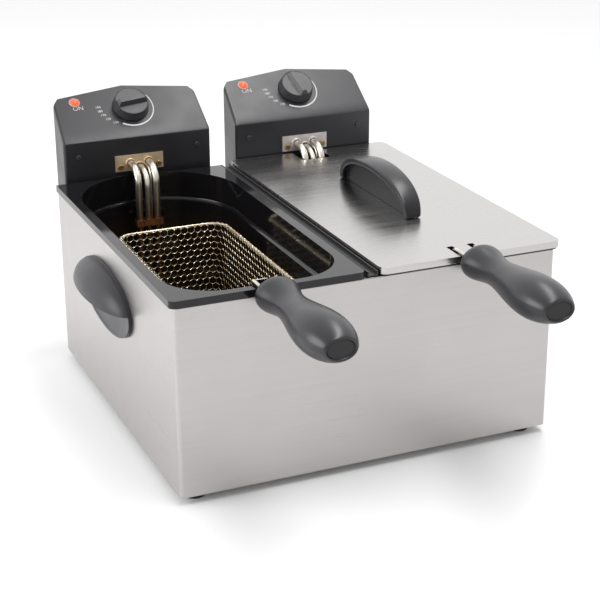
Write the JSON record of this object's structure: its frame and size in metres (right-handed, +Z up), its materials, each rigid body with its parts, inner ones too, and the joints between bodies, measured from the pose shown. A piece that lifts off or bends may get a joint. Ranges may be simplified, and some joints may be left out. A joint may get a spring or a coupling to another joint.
{
  "type": "deep fryer",
  "caption": "Countertop electric deep fryer with side-by-side oil wells, lift-out wire baskets, hinged basket handles, rear control heads and a lid.",
  "frame": {"origin": "middle of the bounding box's underside, on the worktop", "axes": "+Z up, the front with the basket handles faces -Y, the control heads are at +Y, +X is to the right seen from the front"},
  "size_m": [0.4332, 0.5882, 0.2841],
  "materials": {
    "steel": "brushed satin",
    "lid_steel": "brushed satin",
    "enamel": "glossy black enamel",
    "head_plastic": "fine satin grain",
    "back_plastic": "matte",
    "grip_plastic": "satin",
    "knob_plastic": "satin black",
    "rubber": "matte black",
    "basket_wire": "gold toned wire",
    "bright_wire": "bright steel",
    "tube": "heat tinted steel",
    "copper": "copper toned",
    "zinc_plate": "yellow zinc plate",
    "brass": "satin",
    "lens": "clear red orange"
  },
  "bodies": {
    "housing": {"housing_shell": "steel", "base_plate": "steel", "foot_front_left": "rubber", "foot_front_right": "rubber", "foot_rear_left": "rubber", "foot_rear_right": "rubber", "side_handle_left": "head_plastic", "side_handle_right": "head_plastic", "divider_channel": "enamel", "guide_rail": "steel"},
    "left_oil_pot": {"left_pot": "enamel"},
    "left_control_head": {"left_head_cover": "head_plastic", "left_head_back_cover": "back_plastic", "left_heating_element": "tube", "left_sensor_tube": "tube", "left_element_clamp": "copper", "left_element_plate": "zinc_plate", "left_plate_screw_left": "brass", "left_plate_screw_right": "brass", "left_cover_screw_left": "knob_plastic", "left_cover_screw_right": "knob_plastic", "left_thermostat": "steel", "left_indicator_lens": "lens", "left_thermal_cutout": "back_plastic", "left_cable_gland": "rubber"},
    "left_basket": {"left_basket_mesh": "basket_wire", "left_basket_rim": "basket_wire", "left_basket_bracket": "bright_wire"},
    "left_handle": {"left_handle_wire": "bright_wire", "left_grip": "grip_plastic"},
    "left_dial": {"left_knob": "knob_plastic", "left_thermostat_shaft": "brass"},
    "left_reset": {"left_reset_button": "lens"},
    "right_oil_pot": {"right_pot": "enamel"},
    "right_control_head": {"right_head_cover": "head_plastic", "right_head_back_cover": "back_plastic", "right_heating_element": "tube", "right_sensor_tube": "tube", "right_element_clamp": "copper", "right_element_plate": "zinc_plate", "right_plate_screw_left": "brass", "right_plate_screw_right": "brass", "right_cover_screw_left": "knob_plastic", "right_cover_screw_right": "knob_plastic", "right_thermostat": "steel", "right_indicator_lens": "lens", "right_thermal_cutout": "back_plastic", "right_cable_gland": "rubber"},
    "right_basket": {"right_basket_mesh": "basket_wire", "right_basket_rim": "basket_wire", "right_basket_bracket": "bright_wire"},
    "right_handle": {"right_handle_wire": "bright_wire", "right_grip": "grip_plastic"},
    "right_dial": {"right_knob": "knob_plastic", "right_thermostat_shaft": "brass"},
    "right_reset": {"right_reset_button": "lens"},
    "right_lid": {"lid": "lid_steel", "lid_handle": "grip_plastic", "lid_screw_front": "bright_wire", "lid_screw_rear": "bright_wire"}
  },
  "joints": [
    {"name": "left_pot_lift", "type": "slide", "parent": "housing", "child": "left_oil_pot", "axis": [0, 0, 1], "range_m": [0, 0.16]},
    {"name": "left_head_lift", "type": "slide", "parent": "left_oil_pot", "child": "left_control_head", "axis": [0, 0, 1], "range_m": [0, 0.16]},
    {"name": "left_basket_lift", "type": "slide", "parent": "left_control_head", "child": "left_basket", "axis": [0, 0, 1], "range_m": [0, 0.13]},
    {"name": "left_handle_fold", "type": "hinge", "parent": "left_basket", "child": "left_handle", "pos_m": [-0.10075, -0.12595, 0.1777], "axis": [-1, 0, 0], "range_deg": [0, 100]},
    {"name": "left_dial_turn", "type": "hinge", "parent": "left_control_head", "child": "left_dial", "pos_m": [-0.095, 0.26868, 0.26332], "axis": [0, -0.6157, 0.788], "range_deg": [-180, 90]},
    {"name": "left_reset_press", "type": "slide", "parent": "left_control_head", "child": "left_reset", "axis": [0, -1, 0], "range_m": [0, 0.002], "stiffness_N_per_m": 300, "springref_m": -0.001},
    {"name": "right_pot_lift", "type": "slide", "parent": "housing", "child": "right_oil_pot", "axis": [0, 0, 1], "range_m": [0, 0.16]},
    {"name": "right_head_lift", "type": "slide", "parent": "right_oil_pot", "child": "right_control_head", "axis": [0, 0, 1], "range_m": [0, 0.16]},
    {"name": "right_basket_lift", "type": "slide", "parent": "right_control_head", "child": "right_basket", "axis": [0, 0, 1], "range_m": [0, 0.13]},
    {"name": "right_handle_fold", "type": "hinge", "parent": "right_basket", "child": "right_handle", "pos_m": [0.10075, -0.12595, 0.1777], "axis": [-1, 0, 0], "range_deg": [0, 8]},
    {"name": "right_dial_turn", "type": "hinge", "parent": "right_control_head", "child": "right_dial", "pos_m": [0.1, 0.26868, 0.26332], "axis": [0, -0.6157, 0.788], "range_deg": [-270, 0]},
    {"name": "right_reset_press", "type": "slide", "parent": "right_control_head", "child": "right_reset", "axis": [0, -1, 0], "range_m": [0, 0.002], "stiffness_N_per_m": 300, "springref_m": -0.001},
    {"name": "right_lid_lift", "type": "slide", "parent": "right_basket", "child": "right_lid", "axis": [0, 0, 1], "range_m": [0, 0.09]}
  ]
}
